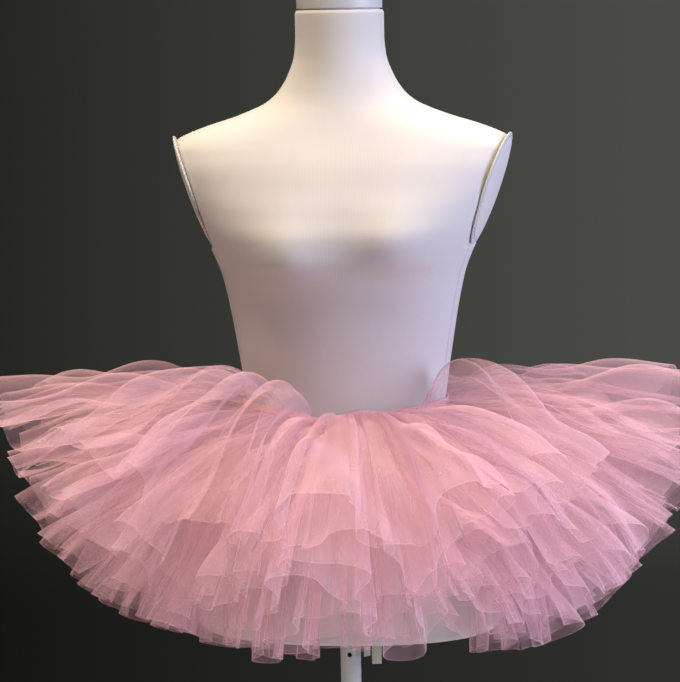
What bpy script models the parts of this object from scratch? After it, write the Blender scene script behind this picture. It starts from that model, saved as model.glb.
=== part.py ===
"""Pink tulle tutu on a limbless dress form with a pole stand.

Metres, +Z up. The origin is on the floor, at the centre of the stand's round base. -Y is the front of the
form and +X is its left-hand side, which is on the right when it is seen from the front. The form is foam
under white jersey, the tutu is seven gathered tiers of tulle sewn to an elastic waistband, and the stand is
a steel tube in a round steel base.
"""

import math

import bmesh
import bpy
import numpy as np

# ---------------------------------------------------------------- driving dimensions
TORSO_BOTTOM_Z = 0.700  # height of the form's flat underside above the floor
GAP = 0.0004  # clearance where two pieces meet

# Stand
BASE_RADIUS = 0.175
BASE_HEIGHT = 0.008
BASE_BEVEL = 0.003
HUB_RADIUS = 0.026
HUB_HEIGHT = 0.032
POLE_RADIUS = 0.0125
POLE_WALL = 0.0015
POLE_INSERT = 0.045  # how far the pole goes up into the form
PIN_HOLE_RADIUS = 0.003
PIN_HOLE_DROP = 0.038  # from the form's underside down to the pin hole
SOCKET_CLEARANCE = 0.0005
STAND_SIDES = 32

# Form
TORSO_SIDES = 48
HEM_ROUND = 0.008  # rounding of the form's bottom edge
# Levels of the torso's rings: from, to and how many, closer where the shoulders slope
TORSO_LEVELS = (
    (0.008, 0.448, 16),
    (0.448, 0.578, 8),
    (0.578, 0.650, 9),
    (0.650, 0.736, 5),
    (0.736, 0.740, 2),
)
NECK_BLOCK_HEIGHT = 0.030
NECK_BLOCK_RADIUS = 0.0508
NECK_GROOVE_RADIUS = 0.0478
NECK_GROOVE_HEIGHT = 0.0025
NECK_TOP_ROUND = 0.006

# Armholes: each side of the torso is cut by the slanting plane
# x = ARM_TOP_X - ARM_SLOPE * (ARM_TOP_H - h) + ARM_TURN * (y - PLATE_MID_Y), which flares out below ARM_LOW_H
ARM_TOP_H = 0.600
ARM_TOP_X = 0.2005
ARM_SLOPE = 0.345
ARM_TURN = 0.12  # the planes face a little forwards
ARM_LOW_H = 0.466
ARM_FLARE = 1.2
PLATE_MID_H = 0.529
PLATE_MID_Y = -0.009
PLATE_HALF_HEIGHT = 0.0630
PLATE_HALF_DEPTH = 0.0550
PLATE_THICK = 0.0045
PLATE_CROWN = 0.0045  # how far the plate's middle stands above its edge
PLATE_INSET = 0.0030
PIPING_RADIUS = 0.0016
PLATE_STEPS = 32

# Bust: jersey drawn straight across two soft points
BUST_POINTS = ((-0.060, 0.452), (0.074, 0.470))  # x and height above the form's underside
BUST_RISE = 0.013
BUST_SPREAD_X = 0.042
BUST_SPREAD_UP = 0.045
BUST_SPREAD_DOWN = 0.026

# Tutu
WAIST_H = 0.268  # middle of the waistband above the form's underside
BAND_UP = 0.012
BAND_DOWN = 0.018
BAND_GAP = 0.0015
BAND_THICK = 0.0020
BAND_SIDES = 48
TULLE_WALL = 0.0012
TULLE_INNER = 0.0011  # from the band's outer face to the gathered edge
FOLD_START = 0.0003  # depth of the folds at the waist
FOLDS = 22  # big folds round each tier
FOLD_RIM = 0.0300  # depth of the deepest folds at the rim
SWELL_RIM = 0.009  # slow rise and fall of the whole stack at the rim
LIFT_REACH = 0.68  # share of the cloth's length over which the top tier rises beside the form and falls again

# Cover ties: two tape ends that hang by the pole
TIE_THICK = 0.0012

# Torso sections. h is the height above the form's underside, half_width runs along X, front and back along
# -Y and +Y, and square is the exponent of the section's outline (2 is an ellipse).
TORSO_COLUMNS = ("h", "half_width", "front", "back", "square")
TORSO_SECTIONS = (
    (0.000, 0.184, 0.122, 0.130, 2.30),
    (0.050, 0.183, 0.121, 0.130, 2.25),
    (0.100, 0.175, 0.115, 0.124, 2.20),
    (0.150, 0.160, 0.105, 0.111, 2.15),
    (0.200, 0.140, 0.094, 0.095, 2.10),
    (0.240, 0.125, 0.086, 0.082, 2.10),
    (0.268, 0.1205, 0.083, 0.077, 2.10),
    (0.312, 0.125, 0.085, 0.075, 2.10),
    (0.342, 0.1295, 0.089, 0.077, 2.12),
    (0.383, 0.136, 0.096, 0.082, 2.15),
    (0.429, 0.1455, 0.111, 0.092, 2.25),
    (0.454, 0.1545, 0.1215, 0.097, 2.35),
    (0.478, 0.167, 0.1235, 0.100, 2.40),
    (0.507, 0.184, 0.117, 0.101, 2.35),
    (0.538, 0.2005, 0.105, 0.100, 2.30),
    (0.561, 0.2070, 0.095, 0.098, 2.30),
    (0.578, 0.2075, 0.086, 0.094, 2.25),
    (0.588, 0.2010, 0.0806, 0.091, 2.20),
    (0.597, 0.1840, 0.0761, 0.088, 2.15),
    (0.606, 0.1600, 0.0719, 0.086, 2.10),
    (0.614, 0.1340, 0.0684, 0.083, 2.05),
    (0.622, 0.1120, 0.0652, 0.080, 2.00),
    (0.632, 0.0900, 0.0616, 0.076, 2.00),
    (0.645, 0.0750, 0.0580, 0.071, 2.00),
    (0.665, 0.0625, 0.0545, 0.063, 2.00),
    (0.688, 0.0545, 0.0524, 0.056, 2.00),
    (0.710, 0.0526, 0.0518, 0.0525, 2.00),
    (0.736, 0.0526, 0.0518, 0.0518, 2.00),
    (0.740, 0.0512, 0.0505, 0.0505, 2.00),
)

# Tulle tiers from the top down. length runs from the gathered edge to the rim and drop is how far the gathered
# edge lies below the band's top. The slopes are degrees above the horizontal, at the waist and at the rim, at
# the sides and at the front. turn is where the first fold lies in degrees and spans is the number of rows of
# faces from waist to rim.
TIER_COLUMNS = ("length", "drop", "side_waist", "side_rim", "front_waist", "front_rim", "turn", "spans")
TIERS = (
    (0.300, 0.0025, 10.0, -7.0, 8.0, -30.0, 4.0, 3),
    (0.300, 0.0067, 1.0, -20.0, 0.0, -38.0, 7.0, 2),
    (0.297, 0.0109, -10.0, -32.0, -6.0, -43.0, 4.5, 2),
    (0.293, 0.0151, -21.0, -44.0, -13.0, -48.0, 1.5, 2),
    (0.284, 0.0193, -32.0, -56.0, -25.0, -56.0, 4.5, 2),
    (0.272, 0.0235, -42.0, -66.0, -34.0, -63.0, 7.0, 2),
    (0.260, 0.0277, -52.0, -76.0, -44.0, -70.0, 4.5, 2),
)

# Humps round the waist. Each is an azimuth in degrees from +X towards +Y, a half width in degrees and a height.
# The height of the waistline, in metres: it dips at the front.
WAIST_LINE = (
    (-90.0, 45.0, -0.010),
    (-99.0, 6.0, -0.005),
    (-78.0, 8.0, 0.004),
)
# How much steeper the top tier leaves the waist, in degrees, where it stands up beside the form
TOP_LIFTS = (
    (-35.0, 8.0, 82.0),
    (-20.0, 8.0, -14.0),
    (-109.0, 10.0, 54.0),
    (-131.0, 13.0, 56.0),
    (-150.0, 8.0, 4.0),
    (-168.0, 9.0, 20.0),
    (20.0, 16.0, 8.0),
    (90.0, 45.0, -4.5),
)
# How far the rims of all tiers turn up, in degrees, where the whole skirt lifts or droops
LEANS = (
    (-110.0, 9.0, -13.0),
    (-60.0, 15.0, 10.0),
    (-36.0, 9.0, -20.0),
    (-130.0, 9.0, 6.0),
    (-150.0, 9.0, -5.0),
    (70.0, 16.0, -6.0),
    (172.0, 9.0, -5.0),
)
# The same for the lower tiers: nothing at the first and all of it at the lowest
UNDER_LEANS = (
    (-62.0, 17.0, 28.0),
    (-108.0, 8.0, -8.0),
)
UPPER_LEANS = ((90.0, 58.0, -45.0),)  # the same for the upper tiers
# azimuth and half width in degrees, and the share by which every tier but the top one is longer there
LONGER = ((180.0, 25.0, -0.12), (-34.0, 8.0, 0.08))
UNDER_FROM = 1
# How far the rims rise in the largest front folds, in metres, which all tiers but the lowest share
LARGE_FOLDS = (
    (-93.0, 6.5, 0.040),
    (-107.0, 5.0, -0.014),
    (-73.0, 4.5, -0.026),
    (-62.0, 6.0, 0.018),
    (-148.0, 9.0, 0.016),
    (-24.0, 9.0, -0.010),
)

# Cover ties: x and y of the middle, length below the form, width, and turn about Z in degrees.
TIE_COLUMNS = ("x", "y", "length", "width", "turn")
TIES = {
    "cover_tie_short": (0.0215, -0.014, 0.040, 0.009, 24.0),
    "cover_tie_long": (0.0350, -0.020, 0.047, 0.013, -8.0),
}

WHITE_JERSEY = (0.86, 0.83, 0.80)
WHITE_PAINT = (0.85, 0.85, 0.85)
PINK_TULLE = (0.93, 0.52, 0.58)
PINK_ELASTIC = (0.90, 0.50, 0.56)
WHITE_TAPE = (0.80, 0.80, 0.76)


# ---------------------------------------------------------------- helpers
def column(table, columns, name):
    """One named column of a table as an array."""
    return np.array([row[columns.index(name)] for row in table])


def smooth_between(x, xs, ys):
    """A cubic through the rows of a table, with each row's slope limited so that it never overshoots."""
    step = np.diff(xs)
    rate = np.diff(ys) / step
    inner = np.where(
        rate[:-1] * rate[1:] > 0,
        2 * rate[:-1] * rate[1:] / np.where(rate[:-1] + rate[1:] == 0, 1, rate[:-1] + rate[1:]),
        0.0,
    )
    slope = np.concatenate([rate[:1], inner, rate[-1:]])
    i = np.clip(np.searchsorted(xs, x, side="right") - 1, 0, len(step) - 1)
    t = (x - xs[i]) / step[i]
    return (
        (2 * t**3 - 3 * t**2 + 1) * ys[i]
        + (t**3 - 2 * t**2 + t) * step[i] * slope[i]
        + (3 * t**2 - 2 * t**3) * ys[i + 1]
        + (t**3 - t**2) * step[i] * slope[i + 1]
    )


def torso_value(h, name):
    heights = column(TORSO_SECTIONS, TORSO_COLUMNS, "h")
    return smooth_between(np.asarray(h, float), heights, column(TORSO_SECTIONS, TORSO_COLUMNS, name))


def section(h, angle, grow=0.0):
    """x and y of the torso's outline at height h, grown outwards by a margin."""
    power = 2.0 / torso_value(h, "square")
    c, s = np.cos(angle), np.sin(angle)
    depth = np.where(s < 0, torso_value(h, "front"), torso_value(h, "back")) + grow
    x = (torso_value(h, "half_width") + grow) * np.sign(c) * np.abs(c) ** power
    y = depth * np.sign(s) * np.abs(s) ** power
    return x, y


def bust(x, h, front_share):
    """How far the two bust points stand out of the front at a place on the torso."""
    rise = np.zeros(np.broadcast(x, h).shape)
    for point_x, point_h in BUST_POINTS:
        spread = np.where(h > point_h, BUST_SPREAD_UP, BUST_SPREAD_DOWN)
        rise += np.exp(-(((x - point_x) / BUST_SPREAD_X) ** 2) - ((h - point_h) / spread) ** 2)
    return BUST_RISE * front_share * rise


def arm_plane(h, y):
    """x of the slanting armhole plane at a height and a y."""
    flare = ARM_FLARE * np.maximum(0.0, ARM_LOW_H - h)
    return ARM_TOP_X - ARM_SLOPE * (ARM_TOP_H - h) + ARM_TURN * (y - PLATE_MID_Y) + flare


def material(name, colour, roughness, metallic=0.0):
    found = bpy.data.materials.get(name)
    if found:
        return found
    made = bpy.data.materials.new(name)
    made.use_nodes = True
    shader = made.node_tree.nodes["Principled BSDF"]
    shader.inputs["Base Color"].default_value = (*colour, 1.0)
    shader.inputs["Roughness"].default_value = roughness
    shader.inputs["Metallic"].default_value = metallic
    return made


def new_object(name, points, faces, finish, smooth=True):
    """An object whose mesh has these points and faces."""
    mesh = bpy.data.meshes.new(name)
    mesh.from_pydata([tuple(map(float, p)) for p in points], [], [tuple(map(int, f)) for f in faces])
    mesh.validate()
    mesh.update()
    if smooth:
        mesh.shade_smooth()
        mesh.set_sharp_from_angle(angle=math.radians(40))
    obj = bpy.data.objects.new(name, mesh)
    bpy.context.scene.collection.objects.link(obj)
    mesh.materials.append(finish)
    return obj


def loft(name, rings, finish, close_bottom=True, close_top=True):
    """Rings of points joined into one skin, with flat ends."""
    count = len(rings[0])
    points = np.concatenate(rings)
    faces = []
    for row in range(len(rings) - 1):
        for k in range(count):
            a, b = row * count + k, row * count + (k + 1) % count
            faces.append((a, b, b + count, a + count))
    if close_bottom:
        faces.append(tuple(range(count - 1, -1, -1)))
    if close_top:
        top = (len(rings) - 1) * count
        faces.append(tuple(range(top, top + count)))
    return new_object(name, points, faces, finish)


def ring(radius, z, sides=STAND_SIDES):
    angle = np.arange(sides) * 2 * math.pi / sides
    return np.column_stack([radius * np.cos(angle), radius * np.sin(angle), np.full(sides, z)])


def turned(name, profile, finish, sides=STAND_SIDES):
    """A solid turned about Z from (radius, z) pairs, from the bottom up."""
    return loft(name, [ring(r, z, sides) for r, z in profile], finish)


def cut(obj, cutter):
    """Takes the cutter's shape out of the object."""
    change = obj.modifiers.new("cut_" + cutter.name, "BOOLEAN")
    change.operation = "DIFFERENCE"
    change.solver = "EXACT"
    change.object = cutter
    cutter.hide_render = True
    cutter.display_type = "WIRE"


# ---------------------------------------------------------------- stand
def build_stand():
    paint = material("white_powder_coat", WHITE_PAINT, 0.35, 0.0)
    turned(
        "stand_base",
        (
            (BASE_RADIUS - BASE_BEVEL / 3, 0.0),
            (BASE_RADIUS, BASE_BEVEL / 3),
            (BASE_RADIUS, BASE_HEIGHT - BASE_BEVEL),
            (BASE_RADIUS - BASE_BEVEL * 0.3, BASE_HEIGHT - BASE_BEVEL * 0.3),
            (BASE_RADIUS - BASE_BEVEL, BASE_HEIGHT),
        ),
        paint,
        sides=64,
    )
    hub_bottom = BASE_HEIGHT + GAP
    hub = turned(
        "stand_hub",
        (
            (HUB_RADIUS, hub_bottom),
            (HUB_RADIUS, hub_bottom + HUB_HEIGHT * 0.35),
            (HUB_RADIUS * 0.86, hub_bottom + HUB_HEIGHT * 0.5),
            (HUB_RADIUS * 0.72, hub_bottom + HUB_HEIGHT - 0.002),
            (HUB_RADIUS * 0.66, hub_bottom + HUB_HEIGHT),
        ),
        paint,
    )
    bore = turned(
        "hub_bore",
        (
            (POLE_RADIUS + SOCKET_CLEARANCE, hub_bottom - 0.01),
            (POLE_RADIUS + SOCKET_CLEARANCE, hub_bottom + HUB_HEIGHT + 0.01),
        ),
        paint,
    )
    cut(hub, bore)

    top = TORSO_BOTTOM_Z + POLE_INSERT
    pole = turned("stand_pole", ((POLE_RADIUS, hub_bottom), (POLE_RADIUS, top)), paint)
    inside = turned(
        "pole_inside",
        ((POLE_RADIUS - POLE_WALL, hub_bottom - 0.01), (POLE_RADIUS - POLE_WALL, top + 0.01)),
        paint,
    )
    cut(pole, inside)
    pin = turned("pin_hole", ((PIN_HOLE_RADIUS, -0.02), (PIN_HOLE_RADIUS, 0.02)), paint, sides=16)
    pin.rotation_euler = (math.pi / 2, 0, 0)
    pin.location = (0, 0, TORSO_BOTTOM_Z - PIN_HOLE_DROP)
    cut(pole, pin)


# ---------------------------------------------------------------- form
def torso_ring(h, inset=0.0):
    """One outline of the torso, with its bust and its flat armholes."""
    angle = (np.arange(TORSO_SIDES) + 0.5) * 2 * math.pi / TORSO_SIDES
    x, y = section(h, angle, -inset)
    front_share = np.clip(-np.sin(angle), 0, 1) ** 0.6
    y = y - bust(x, h, front_share)
    limit = arm_plane(h, y)
    x = np.clip(x, -limit, limit)
    return np.column_stack([x, y, np.full(TORSO_SIDES, TORSO_BOTTOM_Z + h)])


def build_torso():
    jersey = material("white_jersey", WHITE_JERSEY, 0.8)
    quarter = np.linspace(0, math.pi / 2, 4)[:-1]
    rings = [torso_ring(HEM_ROUND * (1 - math.sin(a)), HEM_ROUND * (1 - math.cos(a))) for a in quarter[::-1]]
    levels = [np.linspace(*span) for span in TORSO_LEVELS]
    rings += [torso_ring(h) for h in np.unique(np.round(np.concatenate(levels), 6))]
    torso = loft("form_torso", rings, jersey)
    socket = turned(
        "pole_socket",
        (
            (POLE_RADIUS + SOCKET_CLEARANCE, TORSO_BOTTOM_Z - 0.01),
            (POLE_RADIUS + SOCKET_CLEARANCE, TORSO_BOTTOM_Z + POLE_INSERT + 0.002),
        ),
        jersey,
    )
    cut(torso, socket)


def build_neck_block():
    z = TORSO_BOTTOM_Z + TORSO_SECTIONS[-1][0] + GAP
    high = z + NECK_BLOCK_HEIGHT
    arc = [
        (
            NECK_BLOCK_RADIUS - NECK_TOP_ROUND * (1 - math.cos(a)),
            high - NECK_TOP_ROUND * (1 - math.sin(a)),
        )
        for a in np.linspace(0, math.pi / 2, 5)
    ]
    turned(
        "neck_block",
        (
            (NECK_GROOVE_RADIUS, z),
            (NECK_GROOVE_RADIUS, z + NECK_GROOVE_HEIGHT),
            (NECK_BLOCK_RADIUS, z + NECK_GROOVE_HEIGHT + 0.0008),
            *arc,
        ),
        material("white_neck_block", WHITE_PAINT, 0.45),
        sides=40,
    )


def plate_outline(inset):
    """Points round the flat armhole, as y and h, drawn in from its edge by a margin."""
    turn = np.arange(PLATE_STEPS) * 2 * math.pi / PLATE_STEPS
    y = PLATE_MID_Y + (PLATE_HALF_DEPTH - inset) * np.cos(turn)
    h = PLATE_MID_H + (PLATE_HALF_HEIGHT - inset) * np.sin(turn)
    return y, h


def on_plate(y, h, out):
    """Points on the armhole plane of the +X side, moved out of it."""
    normal = np.array([1.0, -ARM_TURN, -ARM_SLOPE])
    normal /= np.linalg.norm(normal)
    return np.column_stack([arm_plane(h, y), y, TORSO_BOTTOM_Z + h]) + out * normal


def build_arm_plates():
    jersey = material("white_jersey", WHITE_JERSEY, 0.8)
    piping = material("white_piping", WHITE_JERSEY, 0.7)
    rim_y, rim_h = plate_outline(0.0)
    rims = [(PLATE_INSET, GAP), (PLATE_INSET, PLATE_THICK - 0.001)]
    for share in (0.02, 0.35, 0.7):
        crown = PLATE_CROWN * (1 - (1 - share) ** 2)
        rims.append((PLATE_INSET + share * (PLATE_HALF_DEPTH - PLATE_INSET), PLATE_THICK + crown))
    for side, mirror in (("left", 1.0), ("right", -1.0)):
        flip = np.array([mirror, 1.0, 1.0])
        rings = [on_plate(*plate_outline(inset), out) * flip for inset, out in rims]
        loft("arm_plate_" + side, rings if mirror > 0 else [r[::-1] for r in rings], jersey)
        path = on_plate(rim_y, rim_h, PIPING_RADIUS + GAP) * flip
        curve = bpy.data.curves.new("arm_piping_" + side, "CURVE")
        curve.dimensions = "3D"
        curve.bevel_depth = PIPING_RADIUS
        curve.bevel_resolution = 1
        curve.materials.append(piping)
        spline = curve.splines.new("POLY")
        spline.points.add(len(path) - 1)
        spline.points.foreach_set("co", np.column_stack([path, np.ones(len(path))]).ravel())
        spline.use_cyclic_u = True
        obj = bpy.data.objects.new("arm_piping_" + side, curve)
        bpy.context.scene.collection.objects.link(obj)


def build_ties():
    tape = material("white_tape", WHITE_TAPE, 0.8)
    for name, row in TIES.items():
        x, y, length, width, turn = (row[TIE_COLUMNS.index(c)] for c in TIE_COLUMNS)
        mesh = bmesh.new()
        bmesh.ops.create_cube(mesh, size=1.0)
        bmesh.ops.scale(mesh, vec=(width, TIE_THICK, length), verts=mesh.verts)
        data = bpy.data.meshes.new(name)
        mesh.to_mesh(data)
        mesh.free()
        data.materials.append(tape)
        obj = bpy.data.objects.new(name, data)
        obj.location = (x, y, TORSO_BOTTOM_Z - GAP - length / 2)
        obj.rotation_euler = (0, 0, math.radians(turn))
        bpy.context.scene.collection.objects.link(obj)


# ---------------------------------------------------------------- tutu
def humps(angle, rows):
    """The sum of bell-shaped humps (azimuth, half width, height) round the waist."""
    total = np.zeros_like(angle)
    for azimuth, width, height in rows:
        away = (np.degrees(angle) - azimuth + 180) % 360 - 180
        total += height * np.exp(-((away / width) ** 2))
    return total


def build_waistband():
    angle = np.arange(BAND_SIDES) * 2 * math.pi / BAND_SIDES
    heights = np.array([WAIST_H - BAND_DOWN, WAIST_H, WAIST_H + BAND_UP])

    def band_ring(h, grow):
        level = h + humps(angle, WAIST_LINE)
        x, y = section(level, angle, grow)
        return np.column_stack([x, y, TORSO_BOTTOM_Z + level])

    outer = [band_ring(h, BAND_GAP + BAND_THICK) for h in heights]
    inner = [band_ring(h, BAND_GAP) for h in heights[::-1]]
    rings = outer + inner
    wall = loft("waistband", rings + [rings[0]], material("pink_elastic", PINK_ELASTIC, 0.7), False, False)
    mesh = bmesh.new()
    mesh.from_mesh(wall.data)
    bmesh.ops.remove_doubles(mesh, verts=mesh.verts, dist=1e-5)
    mesh.to_mesh(wall.data)
    mesh.free()


def fold_columns(turn):
    """Azimuths round a tier and the wave at each: four columns a fold, with folds of uneven width and depth."""
    number = np.arange(FOLDS)
    width = 1.0 + 0.30 * np.sin(number * 1.7)
    depth = 0.76 + 0.24 * np.sin(number * 2.4)
    edge = np.concatenate([[0], np.cumsum(width)[:-1]])
    quarter = np.arange(4) / 4
    angle = (edge[:, None] + width[:, None] * quarter) * 2 * math.pi / width.sum() + math.radians(turn)
    wave = depth[:, None] * np.sin(2 * math.pi * quarter)
    return angle.ravel(), wave.ravel()


def tier_points(number, row):
    """The middle surface of a tier: rings from the gathered edge to the rim."""
    length, drop, side_waist, side_rim, front_waist, front_rim, turn, spans = row
    angle, waves = fold_columns(turn)
    h0 = WAIST_H + BAND_UP - drop + humps(angle, WAIST_LINE)
    x, y = section(h0, angle, BAND_GAP + BAND_THICK + TULLE_INNER)
    out = 0.75 * np.array([np.cos(angle), np.sin(angle)]) + 0.25 * np.array([x, y]) / 0.12
    out /= np.hypot(*out)
    front = np.clip(-np.sin(angle), 0, 1) ** 2
    waist_slope = side_waist + (front_waist - side_waist) * front
    rim_slope = side_rim + (front_rim - side_rim) * front
    steeper = humps(angle, TOP_LIFTS) if number == 1 else 0.0
    under = max(0, number - UNDER_FROM) / (len(TIERS) - UNDER_FROM)
    lean = humps(angle, LEANS) + under * humps(angle, UNDER_LEANS) + (1 - under) * humps(angle, UPPER_LEANS)
    large = humps(angle, LARGE_FOLDS) if number < len(TIERS) else 0.0
    length = length * (1 + (humps(angle, LONGER) if number > 1 else 0.0))
    swell = SWELL_RIM * (0.6 * np.sin(2 * angle + 0.6) + 0.4 * np.sin(3 * angle + 2.0))
    rings, reach, rise = [], np.zeros_like(angle), np.zeros_like(angle)
    steps = spans * 20
    for step in range(steps + 1):
        share = step / steps
        slope = np.radians(
            waist_slope
            + (rim_slope - waist_slope) * share**0.8
            + lean * share
            + steeper * math.cos(math.pi * min(1.0, share / LIFT_REACH)) * (1 - share)
        )
        if step % 20 == 0:
            deep = waves * (FOLD_START + (FOLD_RIM - FOLD_START) * share)
            deep = deep + (swell + large) * share**2
            r, z = reach - deep * np.sin(slope), rise + deep * np.cos(slope)
            rings.append(np.column_stack([x + out[0] * r, y + out[1] * r, TORSO_BOTTOM_Z + h0 + z]))
        reach = reach + length / steps * np.cos(slope)
        rise = rise + length / steps * np.sin(slope)
    return rings


def build_tiers():
    tulle = material("pink_tulle", PINK_TULLE, 0.7)
    for number, row in enumerate(TIERS, start=1):
        rings = tier_points(number, row)
        wall = loft(f"tulle_tier_{number}", rings, tulle, close_bottom=False, close_top=False)
        thick = wall.modifiers.new("wall", "SOLIDIFY")
        thick.thickness = TULLE_WALL
        thick.offset = 0.0
        thick.use_rim = True


def main():
    for obj in list(bpy.data.objects):
        bpy.data.objects.remove(obj)
    build_stand()
    build_torso()
    build_neck_block()
    build_arm_plates()
    build_ties()
    build_waistband()
    build_tiers()


main()
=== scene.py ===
"""Looks of a pink tulle tutu on a white dress form: every piece, its material, the stage and the camera.

Metres, +Z up. The origin is on the floor under the middle of the stand's base and -Y is the form's front.
Heights called h run from the form's flat underside. Azimuths run from +X towards +Y.
"""

import math

import bpy
import numpy as np
from mathutils import Matrix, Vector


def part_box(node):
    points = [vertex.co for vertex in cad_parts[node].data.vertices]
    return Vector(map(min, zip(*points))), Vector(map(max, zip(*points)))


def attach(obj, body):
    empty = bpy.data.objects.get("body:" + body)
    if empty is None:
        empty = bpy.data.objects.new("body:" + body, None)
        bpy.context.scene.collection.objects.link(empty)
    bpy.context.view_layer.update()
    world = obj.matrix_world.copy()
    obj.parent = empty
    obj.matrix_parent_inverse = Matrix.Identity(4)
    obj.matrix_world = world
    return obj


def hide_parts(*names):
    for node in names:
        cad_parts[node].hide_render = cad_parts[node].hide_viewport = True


bl_info = {
    "name": "Tutu on a dress form",
    "version": (1, 0, 0),
    "blender": (4, 5, 0),
    "location": "3D View > Sidebar > Tutu",
    "description": "Builds a tulle tutu on a dress form over its packed frame",
    "category": "Object",
}

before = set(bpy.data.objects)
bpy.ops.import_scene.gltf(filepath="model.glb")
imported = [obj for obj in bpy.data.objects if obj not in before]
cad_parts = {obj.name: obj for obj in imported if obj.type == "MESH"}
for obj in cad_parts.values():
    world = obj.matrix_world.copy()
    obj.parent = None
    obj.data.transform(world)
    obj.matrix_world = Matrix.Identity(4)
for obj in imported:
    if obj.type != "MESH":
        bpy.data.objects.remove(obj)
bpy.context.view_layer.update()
FORM_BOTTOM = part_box("form_torso")[0][2]
BASE_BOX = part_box("stand_base")
HUB_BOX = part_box("stand_hub")
NECK_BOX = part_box("neck_block")
TURN = 2 * math.pi
SMOOTH = {"interpolation_type": "SMOOTHSTEP"}  # a map range that eases in and out


# ---------------------------------------------------------------- sizes and colours a user may change
class FormSettings(bpy.types.PropertyGroup):
    """Sizes and colours of the dress form and its stand."""

    bust_rise: bpy.props.FloatProperty(
        name="Bust rise", description="How far each bust point stands out", default=0.013, unit="LENGTH"
    )
    piping_width: bpy.props.FloatProperty(
        name="Piping width",
        description="Width of the whipped edge round an armhole",
        default=0.0070,
        unit="LENGTH",
    )
    jersey: bpy.props.StringProperty(name="Jersey", description="Colour of the cover", default="CDCAC7")
    block: bpy.props.StringProperty(
        name="Neck block", description="Colour of the neck block", default="C6C6C3"
    )
    paint: bpy.props.StringProperty(name="Stand paint", description="Colour of the stand", default="C0C1C4")
    tape: bpy.props.StringProperty(name="Tape", description="Colour of the cover's ties", default="CAC8BE")


class TulleSettings(bpy.types.PropertyGroup):
    """Sizes and colours of the tutu."""

    fold_rim: bpy.props.FloatProperty(
        name="Fold depth", description="Depth of the big folds at the rim", default=0.030, unit="LENGTH"
    )
    ripple_rim: bpy.props.FloatProperty(
        name="Ripple depth", description="Depth of the ripples at the rim", default=0.0115, unit="LENGTH"
    )
    crumple: bpy.props.FloatProperty(
        name="Crumple depth", description="Depth of the soft crumple", default=0.0060, unit="LENGTH"
    )
    gather: bpy.props.FloatProperty(
        name="Gather depth",
        description="Depth of the small gathers by the waist",
        default=0.0006,
        unit="LENGTH",
    )
    cover: bpy.props.FloatProperty(
        name="Cover", description="Share of light that one layer of net stops", default=0.18, subtype="FACTOR"
    )
    net: bpy.props.StringProperty(name="Net", description="Colour of the threads", default="FCD3DE")
    glow: bpy.props.StringProperty(name="Glow", description="Colour of light through it", default="FEDCE6")
    elastic: bpy.props.StringProperty(name="Elastic", description="Colour of the band", default="F6BBC6")


# ---------------------------------------------------------------- small helpers
def linear(code):
    """An sRGB hex code as linear red, green, blue and 1."""
    value = np.array([int(code[i : i + 2], 16) for i in (0, 2, 4)]) / 255
    rgb = np.where(value <= 0.04045, value / 12.92, ((value + 0.055) / 1.055) ** 2.4)
    return (*map(float, rgb), 1.0)


def blank_material(name):
    """An empty node material and its tree."""
    made = bpy.data.materials.new(name)
    made.use_nodes = True
    made.node_tree.nodes.clear()
    return made, made.node_tree


def add(tree, kind, settings=None, inputs=None, links=None):
    """Adds a node: settings are its properties, inputs its socket values, links its sockets' sources."""
    node = tree.nodes.new(kind)
    for key, value in (settings or {}).items():
        setattr(node, key, value)
    for key, value in (inputs or {}).items():
        node.inputs[key].default_value = value
    for key, source in (links or {}).items():
        tree.links.new(source, node.inputs[key])
    return node


def surface(name, grid, material, closed_round=True, ends=(False, False), uv=None, smooth=True):
    """A mesh from a grid of points, rows by columns, joined round if it closes, with flat ends if wanted.

    Row by row, each face runs along the row and then up to the next, so that columns which go round
    anticlockwise and rows which go up give faces that point outwards.
    """
    rows, columns = grid.shape[:2]
    row, column = np.meshgrid(np.arange(rows - 1), np.arange(columns - (not closed_round)), indexing="ij")
    here, right = row * columns + column, row * columns + (column + 1) % columns
    quads = np.stack([here, right, right + columns, here + columns], axis=-1).reshape(-1, 4)
    faces = quads.tolist()
    if ends[0]:
        faces.append(list(range(columns - 1, -1, -1)))
    if ends[1]:
        faces.append(list(range((rows - 1) * columns, rows * columns)))
    mesh = bpy.data.meshes.new(name)
    mesh.from_pydata(grid.reshape(-1, 3).tolist(), [], faces)
    if uv is not None:
        layer = mesh.uv_layers.new(name="cut")
        corner = uv[:, : columns + 1].reshape(-1, 2) if closed_round else uv.reshape(-1, 2)
        wide = columns + 1 if closed_round else columns
        first = row * wide + column
        order = [np.stack([first, first + 1, first + wide + 1, first + wide], axis=-1).reshape(-1)]
        if ends[0]:
            order.append(np.arange(columns - 1, -1, -1))
        if ends[1]:
            order.append((rows - 1) * wide + np.arange(columns))
        layer.data.foreach_set("uv", corner[np.concatenate(order)].ravel().astype(np.float32))
    mesh.materials.append(material)
    if smooth:
        mesh.shade_smooth()
    mesh.update()
    obj = bpy.data.objects.new(name, mesh)
    bpy.context.scene.collection.objects.link(obj)
    return obj


def place(obj, slot, *nodes):
    """The piece rides on the root body and stands for these nodes, which it hides. The slot is not used."""
    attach(obj, "root")
    if nodes:
        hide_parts(*nodes)
    return obj


def around(count):
    """Azimuths spaced evenly round a circle."""
    return np.arange(count) * TURN / count


def turned_grid(profile, count):
    """A profile of radius and z carried round Z: x is r cos(azimuth), y is r sin(azimuth)."""
    profile = np.asarray(profile, float)
    angle = around(count)
    r, z = profile[:, :1], profile[:, 1:]
    height = np.broadcast_to(z, (len(profile), count))
    return np.stack([r * np.cos(angle), r * np.sin(angle), height], axis=-1)


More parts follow.
